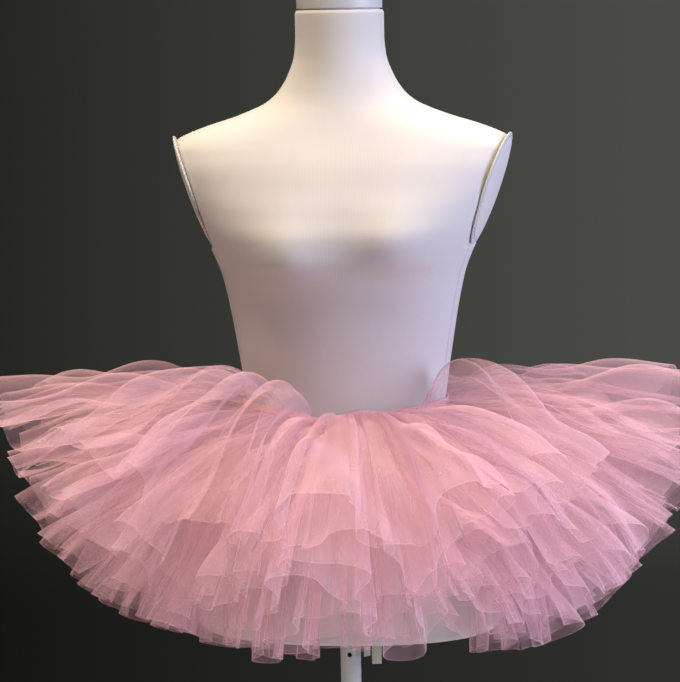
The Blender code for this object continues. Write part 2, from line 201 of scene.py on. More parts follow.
def corner_arc(radius, z, size, start, end, steps=7):
    """Points of a rounded corner: a circle of the given size about (radius, z) from start to end degrees."""
    angle = np.radians(np.linspace(start, end, steps))
    return np.column_stack([radius + size * np.cos(angle), z + size * np.sin(angle)])


def tube_grid(path, normal, size, sides=12):
    """An oval cord along a closed flat path, with one half size in the path's plane and one out of it."""
    ahead = np.roll(path, -1, axis=0) - np.roll(path, 1, axis=0)
    ahead /= np.linalg.norm(ahead, axis=1, keepdims=True)
    side = np.cross(ahead, normal)
    angle = around(sides)
    return (
        path[:, None]
        + size[0] * side[:, None] * np.cos(angle)[:, None]
        + size[1] * np.asarray(normal)[None, None] * np.sin(angle)[:, None]
    )


def smooth_between(x, xs, ys):
    """A cubic through a table's rows, its slope at each row the harmonic mean of the rates on both sides."""
    step = np.diff(xs)
    rate = np.diff(ys) / step
    total = rate[:-1] + rate[1:]
    inner = np.where(rate[:-1] * rate[1:] > 0, 2 * rate[:-1] * rate[1:] / np.where(total == 0, 1, total), 0.0)
    slope = np.concatenate([rate[:1], inner, rate[-1:]])
    i = np.clip(np.searchsorted(xs, x, side="right") - 1, 0, len(step) - 1)
    t = (x - xs[i]) / step[i]
    return (
        (2 * t**3 - 3 * t**2 + 1) * ys[i]
        + (t**3 - 2 * t**2 + t) * step[i] * slope[i]
        + (3 * t**2 - 2 * t**3) * ys[i + 1]
        + (t**3 - t**2) * step[i] * slope[i + 1]
    )


def drift(angle, low, high, seed):
    """A smooth, uneven wave round the waist from -1 to 1: sines of several whole counts, low to high."""
    pick = np.random.default_rng(seed)
    count = np.arange(low, high + 1)
    phase = pick.uniform(0, TURN, len(count))
    size = pick.uniform(0.5, 1.0, len(count))
    wave = (size * np.sin(angle[..., None] * count + phase)).sum(axis=-1)
    return wave / (size.sum() * 0.55)


# ---------------------------------------------------------------- dress form
# h, half width, front and back in metres, and the exponent of the section's outline (2 is an ellipse)
TORSO_COLUMNS = ("h", "half_width", "front", "back", "square")
TORSO_SECTIONS = (
    (0.000, 0.184, 0.122, 0.130, 2.30),
    (0.050, 0.183, 0.121, 0.130, 2.25),
    (0.100, 0.175, 0.115, 0.124, 2.20),
    (0.150, 0.160, 0.105, 0.111, 2.15),
    (0.200, 0.140, 0.094, 0.095, 2.10),
    (0.240, 0.125, 0.086, 0.082, 2.10),
    (0.268, 0.1205, 0.083, 0.077, 2.10),
    (0.312, 0.125, 0.085, 0.075, 2.10),
    (0.342, 0.1295, 0.089, 0.077, 2.12),
    (0.383, 0.136, 0.096, 0.082, 2.15),
    (0.429, 0.1455, 0.111, 0.092, 2.25),
    (0.454, 0.1545, 0.1215, 0.097, 2.35),
    (0.478, 0.167, 0.1235, 0.100, 2.40),
    (0.507, 0.184, 0.117, 0.101, 2.35),
    (0.538, 0.2005, 0.105, 0.100, 2.30),
    (0.561, 0.2070, 0.095, 0.098, 2.30),
    (0.578, 0.2075, 0.086, 0.094, 2.25),
    (0.588, 0.2010, 0.0806, 0.091, 2.20),
    (0.597, 0.1840, 0.0761, 0.088, 2.15),
    (0.606, 0.1600, 0.0719, 0.086, 2.10),
    (0.614, 0.1340, 0.0684, 0.083, 2.05),
    (0.622, 0.1120, 0.0652, 0.080, 2.00),
    (0.632, 0.0900, 0.0616, 0.076, 2.00),
    (0.645, 0.0750, 0.0580, 0.071, 2.00),
    (0.665, 0.0625, 0.0545, 0.063, 2.00),
    (0.688, 0.0545, 0.0524, 0.056, 2.00),
    (0.710, 0.0526, 0.0518, 0.0525, 2.00),
    (0.736, 0.0526, 0.0518, 0.0518, 2.00),
    (0.740, 0.0512, 0.0505, 0.0505, 2.00),
)
SECTIONS = np.array(TORSO_SECTIONS)
TORSO_TOP = TORSO_SECTIONS[-1][0]
HEM_ROUND = 0.008
BUST_POINTS = ((-0.060, 0.452), (0.074, 0.470))  # x and height
BUST_SPREAD = {"x": 0.042, "up": 0.045, "down": 0.026}
ARM = {"top_h": 0.600, "top_x": 0.2005, "slope": 0.345, "turn": 0.12, "low_h": 0.466, "flare": 1.2}
PLATE = {"mid_y": -0.009, "mid_h": 0.529, "half_depth": 0.055, "half_height": 0.063, "inset": 0.0030}
PLATE_EDGE, PLATE_CROWN = 0.0045, 0.0045
CHEST_GIRTH = 0.90  # the cover's width on its own map
SEAM_AZIMUTH = -17.0
GAP = 0.0004
NECK_END = 0.004  # height of the short taper that ends the neck
CORD_HALF_THICK = 0.0016
CORD_LENGTH = 0.37  # round one armhole
WAVE_TURNS = 20  # Blender's wave texture turns 20 radians a metre for each unit of its scale


def torso_value(h, name):
    """One column of the section table at height h."""
    return smooth_between(np.asarray(h, float), SECTIONS[:, 0], SECTIONS[:, TORSO_COLUMNS.index(name)])


def section(h, angle, grow=0.0):
    """x and y of the torso's outline: half sizes times the cosine and sine raised to 2 over the exponent."""
    power = 2.0 / torso_value(h, "square")
    c, s = np.cos(angle), np.sin(angle)
    depth = np.where(s < 0, torso_value(h, "front"), torso_value(h, "back")) + grow
    x = (torso_value(h, "half_width") + grow) * np.sign(c) * np.abs(c) ** power
    return x, depth * np.sign(s) * np.abs(s) ** power


def arm_plane(h, y):
    """x of the armhole's plane: it leans in to the waist, faces a little forwards and flares out below."""
    flare = ARM["flare"] * np.maximum(0.0, ARM["low_h"] - h)
    return ARM["top_x"] - ARM["slope"] * (ARM["top_h"] - h) + ARM["turn"] * (y - PLATE["mid_y"]) + flare


def torso_grid(rise, columns=224, rows=230):
    """Sections stacked from the rounded hem to the neck, with two bell-shaped bust points added to the front
    and both sides cut flat by the armhole planes."""
    angle = (around(columns) + TURN / columns / 2)[None]
    bend = np.linspace(0, math.pi / 2, 7)[:-1]
    low = HEM_ROUND * (1 - np.cos(bend))
    body = np.linspace(HEM_ROUND, TORSO_TOP - NECK_END, rows)
    neck = np.linspace(TORSO_TOP - NECK_END, TORSO_TOP, 8)[1:]
    h = np.concatenate([low, body, neck])[:, None]
    inset = np.concatenate([HEM_ROUND * (1 - np.sin(bend)), np.zeros(len(body) + len(neck))])[:, None]
    x, y = section(h, angle, -inset)
    share = np.clip(-np.sin(angle), 0, 1) ** 0.6
    for point_x, point_h in BUST_POINTS:
        spread = np.where(h > point_h, BUST_SPREAD["up"], BUST_SPREAD["down"])
        bell = np.exp(-(((x - point_x) / BUST_SPREAD["x"]) ** 2) - ((h - point_h) / spread) ** 2)
        y = y - rise * share * bell
    limit = arm_plane(h, y)
    x = np.clip(x, -limit, limit)
    girth = np.broadcast_to(np.linspace(0, CHEST_GIRTH, columns + 1), (len(h), columns + 1))
    cut = np.stack([girth, np.broadcast_to(h, girth.shape)], axis=-1)
    return np.stack([x, y, FORM_BOTTOM + np.broadcast_to(h, x.shape)], axis=-1), cut


def knitted_jersey(name, code):
    """White cotton and elastane jersey over foam: fine knitted loops, a soft matt surface with a little fuzz
    that lightens it at grazing angles, and faint handling marks. Its wales run up the body, 0.9 mm apart,
    drawn as 2.6 mm ribs. The two side seams are drawn as grooves darkened with painted shade, and lie as far
    each side of the front."""
    made, tree = blank_material(name)
    cut = add(tree, "ShaderNodeUVMap", {"uv_map": "cut"}).outputs["UV"]
    where = add(tree, "ShaderNodeTexCoord").outputs["Object"]
    knit = add(
        tree,
        "ShaderNodeTexWave",
        {"wave_type": "BANDS", "bands_direction": "X", "wave_profile": "SIN"},
        {"Scale": TURN / 0.0026 / WAVE_TURNS, "Distortion": 0.8, "Detail": 1.0, "Detail Scale": 2.0},
        {"Vector": cut},
    )
    marks = {"Scale": 9.0, "Detail": 4.0, "Roughness": 0.55}
    cloud = add(tree, "ShaderNodeTexNoise", {}, marks, {"Vector": where})
    pile = add(tree, "ShaderNodeTexNoise", {}, {"Scale": 900.0, "Detail": 2.0}, {"Vector": where})
    round_it = add(tree, "ShaderNodeSeparateXYZ", {}, {}, {"Vector": cut})
    value = round_it.outputs["X"]
    # the distance from the front line, less the seams' own distance from it
    for shift in (CHEST_GIRTH * 0.75, CHEST_GIRTH * (90.0 + SEAM_AZIMUTH) / 360.0):
        moved = add(tree, "ShaderNodeMath", {"operation": "SUBTRACT"}, {1: shift}, {0: value})
        value = add(tree, "ShaderNodeMath", {"operation": "ABSOLUTE"}, {}, {0: moved.outputs[0]}).outputs[0]
    seam = add(
        tree,
        "ShaderNodeMapRange",
        SMOOTH,
        {"From Min": 0.0004, "From Max": 0.0022, "To Min": 0.0, "To Max": 1.0},
        {"Value": value},
    )
    base = np.array(linear(code))
    tone = add(tree, "ShaderNodeValToRGB", {}, {}, {"Fac": cloud.outputs["Fac"]})
    tone.color_ramp.elements[0].position, tone.color_ramp.elements[1].position = 0.3, 0.7
    tone.color_ramp.elements[0].color = (*(base[:3] * (0.93, 0.92, 0.90)), 1)
    tone.color_ramp.elements[1].color = (*base[:3], 1)
    # painted shade: the colour is darkened to 0.70 along each seam's groove
    sewn = add(tree, "ShaderNodeMix", {"data_type": "RGBA"}, {}, {"Factor": seam.outputs[0]})
    sewn.inputs[6].default_value = (*(base[:3] * 0.70), 1)
    tree.links.new(tone.outputs["Color"], sewn.inputs[7])
    both = {0: pile.outputs["Fac"], 2: knit.outputs["Fac"]}
    loops = add(tree, "ShaderNodeMath", {"operation": "MULTIPLY_ADD"}, {1: 0.35}, both)
    sunk = {0: loops.outputs[0], 1: seam.outputs[0]}
    height = add(tree, "ShaderNodeMath", {"operation": "MULTIPLY"}, {}, sunk)
    relief = {"Strength": 0.07, "Distance": 0.0005}
    bump = add(tree, "ShaderNodeBump", {}, relief, {"Height": height.outputs[0]})
    rough = add(
        tree, "ShaderNodeMapRange", {}, {"To Min": 0.78, "To Max": 0.92}, {"Value": cloud.outputs["Fac"]}
    )
    shader = add(
        tree,
        "ShaderNodeBsdfPrincipled",
        {},
        {"Sheen Weight": 0.25, "Sheen Roughness": 0.5, "Specular IOR Level": 0.2},
        {"Base Color": sewn.outputs[2], "Roughness": rough.outputs[0], "Normal": bump.outputs["Normal"]},
    )
    add(tree, "ShaderNodeOutputMaterial", {}, {}, {"Surface": shader.outputs[0]})
    return made


def whipped_edge(name, code):
    """Cotton cord oversewn with close white stitches, which show as ribs across the cord, 1.9 mm apart, with
    painted shade darkening the grooves between them. They follow the cord's own map, whose first axis is its
    length in metres."""
    made, tree = blank_material(name)
    along = add(tree, "ShaderNodeUVMap", {"uv_map": "cut"}).outputs["UV"]
    rib = add(
        tree,
        "ShaderNodeTexWave",
        {"wave_type": "BANDS", "bands_direction": "DIAGONAL", "wave_profile": "SIN"},
        {"Scale": TURN / 0.0019 / WAVE_TURNS / 1.5, "Distortion": 0.6},
        {"Vector": along},
    )
    base = np.array(linear(code))
    # painted shade: the grooves between the stitches, where the bump sinks, are darkened to 0.72
    tone = add(tree, "ShaderNodeValToRGB", {}, {}, {"Fac": rib.outputs["Fac"]})
    tone.color_ramp.elements[0].color = (*(base[:3] * 0.72), 1)
    tone.color_ramp.elements[1].color = (*base[:3], 1)
    relief = {"Strength": 0.7, "Distance": 0.0006}
    bump = add(tree, "ShaderNodeBump", {}, relief, {"Height": rib.outputs["Fac"]})
    shader = add(
        tree,
        "ShaderNodeBsdfPrincipled",
        {},
        {"Roughness": 0.8, "Sheen Weight": 0.2, "Specular IOR Level": 0.25},
        {"Base Color": tone.outputs["Color"], "Normal": bump.outputs["Normal"]},
    )
    add(tree, "ShaderNodeOutputMaterial", {}, {}, {"Surface": shader.outputs[0]})
    return made


class TUTU_OT_torso(bpy.types.Operator):
    """The jersey-covered body of the form."""

    bl_idname = "tutu.torso"
    bl_label = "Torso"

    def execute(self, context):
        form = context.scene.form_settings
        jersey = knitted_jersey("cotton jersey, knitted", form.jersey)
        grid, cut = torso_grid(form.bust_rise)
        place(surface("torso_cover", grid, jersey, ends=(True, True), uv=cut), "white_jersey", "form_torso")
        return {"FINISHED"}


ARM_NORMAL = np.array([1.0, -ARM["turn"], -ARM["slope"]])
ARM_NORMAL = ARM_NORMAL / np.linalg.norm(ARM_NORMAL)


def plate_ring(inset, out, mirror, count=96):
    """An oval on the armhole's plane, drawn in by inset and moved out of the plane."""
    angle = around(count)
    y = PLATE["mid_y"] + (PLATE["half_depth"] - inset) * np.cos(angle)
    h = PLATE["mid_h"] + (PLATE["half_height"] - inset) * np.sin(angle)
    ring = np.column_stack([arm_plane(h, y), y, FORM_BOTTOM + h]) + out * ARM_NORMAL
    return ring * (mirror, 1, 1)


def plate_cut(grid):
    """The plate's cloth lies flat on it: y along one axis and height along the other, clear of the seams."""
    closed = np.concatenate([grid, grid[:, :1]], axis=1)
    return closed[..., 1:] + (0.3, 0.0)


class TUTU_OT_armholes(bpy.types.Operator):
    """The covered oval plates of the armholes and the whipped cord round each."""

    bl_idname = "tutu.armholes"
    bl_label = "Armholes"

    def execute(self, context):
        form = context.scene.form_settings
        jersey = knitted_jersey("plate jersey, knitted", form.jersey)
        edge = whipped_edge("cotton cord, whipped", form.jersey)
        inset = PLATE["inset"]
        for side, mirror in (("left", 1.0), ("right", -1.0)):
            # a low wall, a rounded edge, then a crown: PLATE_CROWN times one less the distance in, squared
            steps = [(inset, GAP), (inset, PLATE_EDGE - 0.0015), (inset + 0.0006, PLATE_EDGE - 0.0004)]
            for share in np.linspace(0.03, 0.97, 12):
                crown = PLATE_CROWN * (1 - (1 - share) ** 2)
                steps.append((inset + share * (PLATE["half_depth"] - inset), PLATE_EDGE + crown))
            grid = np.stack([plate_ring(i, o, mirror) for i, o in steps])
            grid = grid if mirror > 0 else grid[:, ::-1]
            cut = plate_cut(grid)
            plate = surface("armhole_plate_" + side, grid, jersey, ends=(True, True), uv=cut)
            place(plate, "white_jersey", "arm_plate_" + side)
            radius = form.piping_width / 2
            path = plate_ring(0.0, CORD_HALF_THICK + GAP, mirror, 240)
            grid = tube_grid(path, ARM_NORMAL * (mirror, 1, 1), (radius, CORD_HALF_THICK))
            grid = np.concatenate([grid, grid[:1]])
            grid = grid[:, ::-1] if mirror > 0 else grid
            length = np.linspace(0, CORD_LENGTH, len(grid))
            round_it = np.linspace(0, TURN * radius, grid.shape[1] + 1)
            uv = np.stack(np.meshgrid(length, round_it, indexing="ij"), axis=-1)
            cord = surface("armhole_cord_" + side, grid, edge, uv=uv)
            place(cord, "white_piping", "arm_piping_" + side)
        return {"FINISHED"}


def satin_block(name, code):
    """Injection-moulded ABS with a satin skin: smooth, with a fine moulded grain and soft highlights."""
    made, tree = blank_material(name)
    where = add(tree, "ShaderNodeTexCoord").outputs["Object"]
    grain = add(tree, "ShaderNodeTexNoise", {}, {"Scale": 700.0, "Detail": 2.0}, {"Vector": where})
    smear = add(tree, "ShaderNodeTexNoise", {}, {"Scale": 14.0, "Detail": 5.0}, {"Vector": where})
    base = np.array(linear(code))
    tone = add(tree, "ShaderNodeValToRGB", {}, {}, {"Fac": smear.outputs["Fac"]})
    tone.color_ramp.elements[0].color = (*(base[:3] * 0.93), 1)
    tone.color_ramp.elements[1].color = (*base[:3], 1)
    relief = {"Strength": 0.08, "Distance": 0.0003}
    bump = add(tree, "ShaderNodeBump", {}, relief, {"Height": grain.outputs["Fac"]})
    rough = add(
        tree, "ShaderNodeMapRange", {}, {"To Min": 0.36, "To Max": 0.50}, {"Value": smear.outputs["Fac"]}
    )
    shader = add(
        tree,
        "ShaderNodeBsdfPrincipled",
        {},
        {"IOR": 1.52},
        {
            "Base Color": tone.outputs["Color"],
            "Roughness": rough.outputs[0],
            "Normal": bump.outputs["Normal"],
        },
    )
    add(tree, "ShaderNodeOutputMaterial", {}, {}, {"Surface": shader.outputs[0]})
    return made


class TUTU_OT_neck_block(bpy.types.Operator):
    """The white block that ends the neck, with a shadow groove under it."""

    bl_idname = "tutu.neck_block"
    bl_label = "Neck block"

    def execute(self, context):
        form = context.scene.form_settings
        plastic = satin_block("ABS, moulded", form.block)
        low, high = NECK_BOX[0][2], NECK_BOX[1][2]
        wide, groove, edge, rim = NECK_BOX[1][0], 0.0478, 0.0008, 0.006
        profile = np.concatenate(
            [
                [(groove, low), (groove, low + 0.0026)],
                corner_arc(wide - edge, low + 0.0034, edge, -90, 0, 5),
                corner_arc(wide - rim, high - rim, rim, 0, 90, 9),
                [(wide * 0.6, high), (wide * 0.2, high)],
            ]
        )
        block = surface("neck_top", turned_grid(profile, 128), plastic, ends=(True, True))
        place(block, "white_neck_block", "neck_block")
        return {"FINISHED"}


def powder_coat(name, code):
    """Mild steel, polyester powder coated: an even satin white with the faint orange peel of baked powder."""
    made, tree = blank_material(name)
    where = add(tree, "ShaderNodeTexCoord").outputs["Object"]
    peel = add(tree, "ShaderNodeTexNoise", {}, {"Scale": 420.0, "Detail": 2.0}, {"Vector": where})
    marks = {"Scale": 11.0, "Detail": 6.0, "Roughness": 0.6}
    dust = add(tree, "ShaderNodeTexNoise", {}, marks, {"Vector": where})
    base = np.array(linear(code))
    tone = add(tree, "ShaderNodeValToRGB", {}, {}, {"Fac": dust.outputs["Fac"]})
    tone.color_ramp.elements[0].color = (*(base[:3] * (0.90, 0.90, 0.89)), 1)
    tone.color_ramp.elements[1].color = (*base[:3], 1)
    tone.color_ramp.elements[0].position, tone.color_ramp.elements[1].position = 0.35, 0.6
    relief = {"Strength": 0.12, "Distance": 0.0003}
    bump = add(tree, "ShaderNodeBump", {}, relief, {"Height": peel.outputs["Fac"]})
    rough = add(
        tree, "ShaderNodeMapRange", {}, {"To Min": 0.30, "To Max": 0.45}, {"Value": dust.outputs["Fac"]}
    )
    shader = add(
        tree,
        "ShaderNodeBsdfPrincipled",
        {},
        {"Coat Weight": 0.15, "Coat Roughness": 0.3},
        {
            "Base Color": tone.outputs["Color"],
            "Roughness": rough.outputs[0],
            "Normal": bump.outputs["Normal"],
        },
    )
    add(tree, "ShaderNodeOutputMaterial", {}, {}, {"Surface": shader.outputs[0]})
    return made


class TUTU_OT_stand(bpy.types.Operator):
    """The pole with its pin hole, the hub and the round base."""

    bl_idname = "tutu.stand"
    bl_label = "Stand"

    def execute(self, context):
        form = context.scene.form_settings
        paint = powder_coat("steel, powder coated", form.paint)
        wide, high = BASE_BOX[1][0], BASE_BOX[1][2]
        profile = np.concatenate(
            [
                [(0.02, 0.0), (wide - 0.002, 0.0)],
                corner_arc(wide - 0.001, 0.001, 0.001, -90, 0, 4),
                corner_arc(wide - 0.003, high - 0.003, 0.003, 0, 90, 8),
                [(wide * 0.5, high), (wide * 0.16, high)],
            ]
        )
        base = surface("round_base", turned_grid(profile, 192), paint, ends=(True, True))
        place(base, "white_powder_coat", "stand_base")
        low, top, out = HUB_BOX[0][2], HUB_BOX[1][2], HUB_BOX[1][0]
        bore = 0.0130
        profile = np.concatenate(
            [
                [(bore, low), (out - 0.001, low)],
                corner_arc(out - 0.001, low + 0.001, 0.001, -90, 0, 4),
                corner_arc(out - 0.003, low + 0.009, 0.003, 0, 60, 5),
                corner_arc(out * 0.66 - 0.0015, top - 0.0015, 0.0015, 20, 90, 5),
                [(bore, top), (bore, low)],
            ]
        )
        hub = surface("base_hub", turned_grid(profile, 96), paint)
        place(hub, "white_powder_coat", "stand_hub")
        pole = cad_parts["stand_pole"]
        pole.data.materials.clear()
        pole.data.materials.append(paint)
        return {"FINISHED"}


def woven_tape(name, code):
    """Cotton twill tape, woven: a fine diagonal rib 1.4 mm apart."""
    made, tree = blank_material(name)
    where = add(tree, "ShaderNodeTexCoord").outputs["Object"]
    rib = add(
        tree,
        "ShaderNodeTexWave",
        {"wave_type": "BANDS", "bands_direction": "DIAGONAL"},
        {"Scale": TURN / 0.0014 / WAVE_TURNS / 1.7, "Distortion": 0.8},
        {"Vector": where},
    )
    base = np.array(linear(code))
    # painted shade: the troughs of the ribs, where the bump sinks, are darkened to 0.82
    tone = add(tree, "ShaderNodeValToRGB", {}, {}, {"Fac": rib.outputs["Fac"]})
    tone.color_ramp.elements[0].color = (*(base[:3] * 0.82), 1)
    tone.color_ramp.elements[1].color = (*base[:3], 1)
    relief = {"Strength": 0.5, "Distance": 0.0003}
    bump = add(tree, "ShaderNodeBump", {}, relief, {"Height": rib.outputs["Fac"]})
    shader = add(
        tree,
        "ShaderNodeBsdfPrincipled",
        {},
        {"Roughness": 0.85, "Sheen Weight": 0.2, "Specular IOR Level": 0.2},
        {"Base Color": tone.outputs["Color"], "Normal": bump.outputs["Normal"]},
    )
    add(tree, "ShaderNodeOutputMaterial", {}, {}, {"Surface": shader.outputs[0]})
    return made


# x and y of the tape's middle, length, width, turn about Z in degrees, and sideways curl at the free end
TIES = {
    "cover_tie_short": (0.0215, -0.014, 0.040, 0.009, 24.0, 0.0030),
    "cover_tie_long": (0.0350, -0.020, 0.047, 0.013, -8.0, -0.0024),
}
TAPE_THICK = 0.0009


class TUTU_OT_cover_ties(bpy.types.Operator):
    """The two tape ends that hang from the cover beside the pole."""

    bl_idname = "tutu.cover_ties"
    bl_label = "Cover ties"

    def execute(self, context):
        tape = woven_tape("cotton twill, woven", context.scene.form_settings.tape)
        for name, (x, y, length, width, turn, curl) in TIES.items():
            down = np.linspace(0, 1, 25)[:, None]
            ring = np.array([-0.5, -0.46, 0.46, 0.5, 0.46, -0.46])[None] * width
            thick = np.array([0.0, -0.5, -0.5, 0.0, 0.5, 0.5])[None] * TAPE_THICK
            sway = curl * np.sin(down * 2.6) * down
            along = ring * (1 - 0.10 * down) + sway * 0.5
            out = thick + sway + 0.0006 * np.sin(ring * 700 + down * 5)
            spin = math.radians(turn)
            px = x + along * math.cos(spin) - out * math.sin(spin)
            py = y + along * math.sin(spin) + out * math.cos(spin)
            z = FORM_BOTTOM - GAP - length * down + 0.0012 * ring / width
            grid = np.stack([px, py, np.broadcast_to(z, px.shape)], axis=-1)[::-1]
            place(surface(name + "_tape", grid, tape, ends=(True, True)), "white_tape", name)
        return {"FINISHED"}


# ---------------------------------------------------------------- tutu
WAIST_H = 0.268
BAND = {"up": 0.012, "down": 0.018, "gap": 0.0015, "thick": 0.0020, "tulle": 0.0011}
PUCKER = 0.0003  # depth of the casing's puckers
CASING_CUT = (0.70, 0.064)  # width and height of its strip before it is folded
FOLDS = 22
RIPPLES = 50
LIFT_REACH = 0.68
# Declared width of each strip. It was lowered from an expected 4.0, so that the cloth, whose gathers at the
# waist aren't all drawn, has 0.88 to 0.98 of the strip's area. The drawn rims are longer, 4.8 to 5.2 m.
FLAT_WIDTH = 3.2

# Tiers from the top: length, drop of the gathered edge below the band's top, slopes in degrees at the sides
# (waist, rim) and at the front (waist, rim), and the azimuth of the first fold
TIERS = (
    (0.300, 0.0025, 10.0, -7.0, 8.0, -30.0, 4.0),
    (0.300, 0.0067, 1.0, -20.0, 0.0, -38.0, 7.0),
    (0.297, 0.0109, -10.0, -32.0, -6.0, -43.0, 4.5),
    (0.293, 0.0151, -21.0, -44.0, -13.0, -48.0, 1.5),
    (0.284, 0.0193, -32.0, -56.0, -25.0, -56.0, 4.5),
    (0.272, 0.0235, -42.0, -66.0, -34.0, -63.0, 7.0),
    (0.260, 0.0277, -52.0, -76.0, -44.0, -70.0, 4.5),
)
# azimuth and half width in degrees, and the rise of the waistline in metres
WAIST_LINE = (
    (-90.0, 45.0, -0.010),
    (-99.0, 6.0, -0.005),
    (-78.0, 8.0, 0.004),
)
# azimuth, half width and how much steeper the top tier leaves the waist, all in degrees
TOP_LIFTS = (
    (-35.0, 8.0, 82.0),
    (-20.0, 8.0, -14.0),
    (-109.0, 10.0, 54.0),
    (-131.0, 13.0, 56.0),
    (-150.0, 8.0, 4.0),
    (-168.0, 9.0, 20.0),
    (20.0, 16.0, 8.0),
    (90.0, 45.0, -4.5),
)
# azimuth, half width and turn of the rims upwards, all in degrees: where the whole skirt lifts or droops
LEANS = (
    (-110.0, 9.0, -13.0),
    (-60.0, 15.0, 10.0),
    (-36.0, 9.0, -20.0),
    (-130.0, 9.0, 6.0),
    (-150.0, 9.0, -5.0),
    (70.0, 16.0, -6.0),
    (172.0, 9.0, -5.0),
)
# the same for the lower tiers: nothing at the first and all of it at the lowest
UNDER_LEANS = (
    (-62.0, 17.0, 28.0),
    (-108.0, 8.0, -8.0),
)
UPPER_LEANS = ((90.0, 58.0, -45.0),)  # the same for the upper tiers
# azimuth and half width in degrees, and the share by which every tier but the top one is longer there
LONGER = ((180.0, 25.0, -0.12), (-34.0, 8.0, 0.08))
UNDER_FROM = 1
# azimuth and half width in degrees, and the rise at the rim in metres, of the largest front folds
LARGE_FOLDS = (
    (-93.0, 6.5, 0.040),
    (-107.0, 5.0, -0.014),
    (-73.0, 4.5, -0.026),
    (-62.0, 6.0, 0.018),
    (-148.0, 9.0, 0.016),
    (-24.0, 9.0, -0.010),
)


def humps(angle, rows):
    """A sum of bell-shaped humps round the waist: height times e to minus the distance in widths squared."""
    azimuth, width, height = np.array(rows).T
    away = (np.degrees(angle)[..., None] - azimuth + 180) % 360 - 180
    return (height * np.exp(-((away / width) ** 2))).sum(axis=-1)


def fold_phase(angle, turn):
    """The big folds' phase, a whole turn for each fold, and their depth, both uneven round the waist."""
    number = np.arange(FOLDS)
    width = 1.0 + 0.30 * np.sin(number * 1.7)
    depth = 0.76 + 0.24 * np.sin(number * 2.4)
    edge = np.concatenate([[0], np.cumsum(width)]) * TURN / width.sum()
    place_on = (angle - math.radians(turn)) % TURN
    phase = smooth_between(place_on, edge, np.arange(FOLDS + 1.0)) * TURN
    middle = np.concatenate([[edge[-2] - TURN], edge[:-1], [TURN]]) + TURN / FOLDS / 2
    return phase, np.interp(place_on, middle, np.concatenate([depth[-1:], depth, depth[:1]]))


def waist_rise(angle):
    """How far the waistline stands above its level at the sides, in metres."""
    return humps(angle, WAIST_LINE)


def tier_grid(number, row, tulle, columns, rows):
    """One gathered tier as a sheet. Its profile runs out from the band along a slope that changes from waist
    to rim, summed up step by step. Waves stand on it: big folds, ripples, a soft crumple and small gathers.
    The folds and ripples also sway sideways at twice their count, so that they open into loops."""
    length, drop, side_waist, side_rim, front_waist, front_rim, turn = row
    angle = around(columns)[None]
    share = np.linspace(0, 1, rows + 1)[:, None]
    front = np.clip(-np.sin(angle), 0, 1) ** 2
    waist = side_waist + (front_waist - side_waist) * front
    rim = side_rim + (front_rim - side_rim) * front
    under = max(0, number - UNDER_FROM) / (len(TIERS) - UNDER_FROM)
    lean = humps(angle, LEANS) + under * humps(angle, UNDER_LEANS) + (1 - under) * humps(angle, UPPER_LEANS)
    slope = waist + (rim - waist) * share**0.8 + lean * share
    if number == 1:
        fade = np.cos(math.pi * np.minimum(1, share / LIFT_REACH))
        slope = slope + humps(angle, TOP_LIFTS) * fade * (1 - share)
    slope = np.radians(slope + 5.0 * share * drift(angle, 4, 14, 40 + number))
    uneven_cut = 0.030 * drift(angle, 8, 30, 60 + number) + humps(angle, LONGER) * (number > 1)
    step = length * (1 + uneven_cut) / rows
    reach = np.cumsum(np.cos(slope) * step, axis=0) - np.cos(slope[:1]) * step
    rise = np.cumsum(np.sin(slope) * step, axis=0) - np.sin(slope[:1]) * step

    h0 = WAIST_H + BAND["up"] - drop + waist_rise(angle)
    x, y = section(h0, angle, BAND["gap"] + BAND["thick"] + BAND["tulle"])
    out = 0.75 * np.stack([np.cos(angle), np.sin(angle)]) + 0.25 * np.stack([x, y]) / 0.12
    out = out / np.hypot(*out)

    phase, depth = fold_phase(angle, turn)
    phase = phase + 0.7 * share * drift(angle, 5, 17, 80 + number)
    big = tulle.fold_rim * depth * (0.02 + 0.98 * share)
    ripple_phase = RIPPLES * angle + 2.4 * drift(angle, 5, 24, 20) + 0.9 * drift(angle, 6, 24, 20 + number)
    wander = 1.6 * drift(angle, 5, 18, 90) + 0.8 * drift(angle, 6, 20, 90 + number)
    ripple_phase = ripple_phase + share * wander
    uneven = np.clip(0.85 + 0.65 * drift(angle, 5, 20, 30 + number), 0.25, 1.5)
    ripple = tulle.ripple_rim * uneven * (0.10 + 0.90 * share**0.8)
    crumple = np.zeros_like(angle + share)
    pick = np.random.default_rng(100 + number)
    for around_count, out_count in zip(pick.integers(9, 36, 14), pick.uniform(0.5, 2.2, 14)):
        start, way = pick.uniform(0, TURN), pick.choice([-1.0, 1.0])
        crumple = crumple + np.sin(around_count * angle + way * TURN * out_count * share + start)
    crumple = tulle.crumple * crumple / 2.6 * np.sin(math.pi * np.clip(share * 0.8, 0, 1)) ** 0.7
    small_phase = (150 + 4 * number) * angle + 3.0 * drift(angle, 20, 70, 50 + number)
    small_phase = small_phase + 1.5 * share * drift(angle, 15, 40, 70 + number)
    small = tulle.gather * np.clip(share * 12, 0, 1) * (1 - 0.85 * np.clip(share / 0.75, 0, 1))
    deep = big * np.sin(phase) + ripple * np.sin(ripple_phase) + crumple + small * np.sin(small_phase)
    swell = 0.009 * (0.6 * np.sin(2 * angle + 0.6) + 0.4 * np.sin(3 * angle + 2.0))
    large = humps(angle, LARGE_FOLDS) * (number < len(TIERS))
    deep = deep + (large + swell) * share**2
    sway = -0.42 * big * np.sin(2 * phase) - 0.68 * ripple * np.sin(2 * ripple_phase)
    radial, height = reach - deep * np.sin(slope), rise + deep * np.cos(slope)
    px = x + out[0] * radial - out[1] * sway
    py = y + out[1] * radial + out[0] * sway
    return np.stack([px, py, FORM_BOTTOM + h0 + height], axis=-1)


